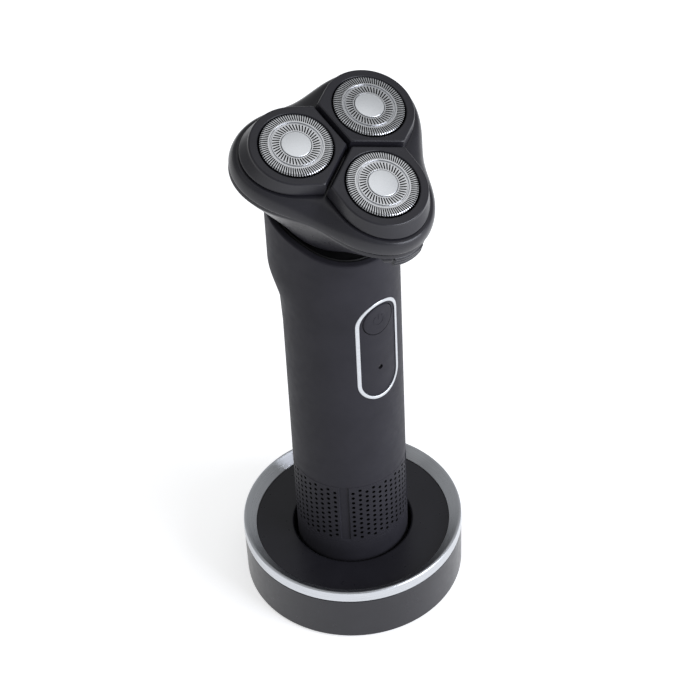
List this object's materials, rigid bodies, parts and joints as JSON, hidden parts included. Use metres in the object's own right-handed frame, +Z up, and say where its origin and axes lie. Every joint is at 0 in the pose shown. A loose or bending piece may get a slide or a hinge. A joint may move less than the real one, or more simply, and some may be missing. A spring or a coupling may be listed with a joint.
{
  "type": "rotary shaver",
  "caption": "Cordless rotary shaver with round slotted cutters on a lobed tilting head, standing in a round charging stand with a bright rim.",
  "frame": {"origin": "centre of the flat underside of the charging stand", "axes": "+Z up along the handle, the power button and the lower front cutter face -Y, +X to the right of a person facing the button"},
  "size_m": [0.0666, 0.0666, 0.173],
  "materials": {
    "rubber": "matte",
    "satin_black": "satin",
    "soft_black": "soft touch",
    "deep_black": "matte",
    "bright_trim": "satin bright",
    "cutter_steel": "ground and slotted",
    "cap_aluminium": "brushed",
    "steel": "plain",
    "gold_contact": "plated",
    "circuit_board": "lacquered",
    "cell_wrap": "film wrapped",
    "gear_plastic": "natural",
    "lamp": "clear"
  },
  "bodies": {
    "stand": {"anti_slip_pad": "rubber", "stand_base_plate": "satin_black", "stand_shell": "satin_black", "stand_trim_ring": "bright_trim", "stand_top_plate": "satin_black", "ballast_ring": "steel", "charging_board": "circuit_board", "power_inlet": "steel", "stand_screw_1": "steel", "stand_screw_2": "steel", "stand_screw_3": "steel"},
    "charging_pin_left": {"charging_pin_left": "gold_contact"},
    "charging_pin_right": {"charging_pin_right": "gold_contact"},
    "handle": {"base_cap": "soft_black", "contact_pad_left": "gold_contact", "contact_pad_right": "gold_contact", "grip_sleeve": "soft_black", "handle_core": "deep_black", "handle_shell": "soft_black", "panel_trim_ring": "bright_trim", "control_panel": "soft_black", "indicator_lens": "lamp", "button_switch": "steel", "main_board": "circuit_board", "battery": "cell_wrap", "chassis": "satin_black", "neck_ring": "deep_black", "motor_bracket": "satin_black", "motor_can": "steel", "tilt_pin_left": "steel", "tilt_pin_right": "steel"},
    "power_button": {"power_button": "soft_black"},
    "motor_rotor": {"motor_rotor": "steel", "drive_coupling": "gear_plastic"},
    "head_base": {"head_bowl": "satin_black", "gear_bed": "satin_black", "gear_cover": "satin_black", "hinge_pin": "steel"},
    "release_button": {"release_button": "satin_black"},
    "sun_pinion": {"sun_pinion": "gear_plastic"},
    "head_cover": {"head_cover": "satin_black"},
    "drive_gear_front": {"drive_gear_front": "gear_plastic"},
    "petal_unit_front": {"petal_front": "satin_black", "outer_cutter_front": "cutter_steel", "cutter_cap_front": "cap_aluminium", "cutter_retainer_front": "deep_black"},
    "inner_cutter_front": {"inner_cutter_front": "steel"},
    "drive_gear_rear_right": {"drive_gear_rear_right": "gear_plastic"},
    "petal_unit_rear_right": {"petal_rear_right": "satin_black", "outer_cutter_rear_right": "cutter_steel", "cutter_cap_rear_right": "cap_aluminium", "cutter_retainer_rear_right": "deep_black"},
    "inner_cutter_rear_right": {"inner_cutter_rear_right": "steel"},
    "drive_gear_rear_left": {"drive_gear_rear_left": "gear_plastic"},
    "petal_unit_rear_left": {"petal_rear_left": "satin_black", "outer_cutter_rear_left": "cutter_steel", "cutter_cap_rear_left": "cap_aluminium", "cutter_retainer_rear_left": "deep_black"},
    "inner_cutter_rear_left": {"inner_cutter_rear_left": "steel"}
  },
  "joints": [
    {"name": "handle_lift", "type": "slide", "parent": "stand", "child": "handle", "axis": [0, 0, 1], "range_m": [0, 0.04]},
    {"name": "charging_pin_left_press", "type": "slide", "parent": "stand", "child": "charging_pin_left", "axis": [0, 0, -1], "range_m": [0, 0.0008], "stiffness_N_per_m": 200, "springref_m": -0.0003},
    {"name": "charging_pin_right_press", "type": "slide", "parent": "stand", "child": "charging_pin_right", "axis": [0, 0, -1], "range_m": [0, 0.0008], "stiffness_N_per_m": 200, "springref_m": -0.0003},
    {"name": "power_button_press", "type": "slide", "parent": "handle", "child": "power_button", "axis": [0, 1, 0], "range_m": [0, 0.0007], "stiffness_N_per_m": 900, "springref_m": -0.0005},
    {"name": "motor_spin", "type": "hinge", "parent": "handle", "child": "motor_rotor", "pos_m": [0, 0.00702, 0.12936], "axis": [0, -0.3518, 0.9361], "continuous": true},
    {"name": "head_tilt", "type": "hinge", "parent": "handle", "child": "head_base", "pos_m": [0, 0.00386, 0.13778], "axis": [1, 0, 0], "range_deg": [-5, 5], "stiffness_Nm_per_rad": 0.6},
    {"name": "release_button_press", "type": "slide", "parent": "head_base", "child": "release_button", "axis": [0, 0.9361, 0.3518], "range_m": [0, 0.001], "stiffness_N_per_m": 900, "springref_m": -0.0005},
    {"name": "pinion_spin", "type": "hinge", "parent": "head_base", "child": "sun_pinion", "pos_m": [0, -0.00177, 0.15276], "axis": [0, -0.3518, 0.9361], "continuous": true},
    {"name": "cover_open", "type": "hinge", "parent": "head_base", "child": "head_cover", "pos_m": [0, 0.01835, 0.16203], "axis": [-1, 0, 0], "range_deg": [0, 75]},
    {"name": "drive_gear_front_spin", "type": "hinge", "parent": "head_base", "child": "drive_gear_front", "pos_m": [0, -0.01488, 0.14783], "axis": [0, -0.3518, 0.9361], "continuous": true},
    {"name": "petal_front_float", "type": "hinge", "parent": "head_cover", "child": "petal_unit_front", "pos_m": [0, -0.01889, 0.15765], "axis": [1, 0, 0], "range_deg": [-1.5, 1.5], "stiffness_Nm_per_rad": 0.12},
    {"name": "inner_cutter_front_spin", "type": "hinge", "parent": "petal_unit_front", "child": "inner_cutter_front", "pos_m": [0, -0.02044, 0.16177], "axis": [0, -0.4003, 0.9164], "continuous": true},
    {"name": "drive_gear_rear_right_spin", "type": "hinge", "parent": "head_base", "child": "drive_gear_rear_right", "pos_m": [0.01212, 0.00478, 0.15522], "axis": [0, -0.3518, 0.9361], "continuous": true},
    {"name": "petal_rear_right_float", "type": "hinge", "parent": "head_cover", "child": "petal_unit_rear_right", "pos_m": [0.01238, 0.00119, 0.1652], "axis": [-0.5, 0.8107, 0.3047], "range_deg": [-1.5, 1.5], "stiffness_Nm_per_rad": 0.12},
    {"name": "inner_cutter_rear_right_spin", "type": "hinge", "parent": "petal_unit_rear_right", "child": "inner_cutter_rear_right", "pos_m": [0.01238, -0.00036, 0.16932], "axis": [0.0453, -0.3269, 0.944], "continuous": true},
    {"name": "drive_gear_rear_left_spin", "type": "hinge", "parent": "head_base", "child": "drive_gear_rear_left", "pos_m": [-0.01212, 0.00478, 0.15522], "axis": [0, -0.3518, 0.9361], "continuous": true},
    {"name": "petal_rear_left_float", "type": "hinge", "parent": "head_cover", "child": "petal_unit_rear_left", "pos_m": [-0.01238, 0.00119, 0.1652], "axis": [-0.5, -0.8107, -0.3047], "range_deg": [-1.5, 1.5], "stiffness_Nm_per_rad": 0.12},
    {"name": "inner_cutter_rear_left_spin", "type": "hinge", "parent": "petal_unit_rear_left", "child": "inner_cutter_rear_left", "pos_m": [-0.01238, -0.00036, 0.16932], "axis": [-0.0453, -0.3269, 0.944], "continuous": true}
  ],
  "couplings": [
    {"joint": "pinion_spin", "follows": "motor_spin", "ratio": 1},
    {"joint": "drive_gear_front_spin", "follows": "motor_spin", "ratio": -0.59091},
    {"joint": "inner_cutter_front_spin", "follows": "motor_spin", "ratio": -0.59091},
    {"joint": "drive_gear_rear_right_spin", "follows": "motor_spin", "ratio": -0.59091},
    {"joint": "inner_cutter_rear_right_spin", "follows": "motor_spin", "ratio": -0.59091},
    {"joint": "drive_gear_rear_left_spin", "follows": "motor_spin", "ratio": -0.59091},
    {"joint": "inner_cutter_rear_left_spin", "follows": "motor_spin", "ratio": -0.59091}
  ]
}
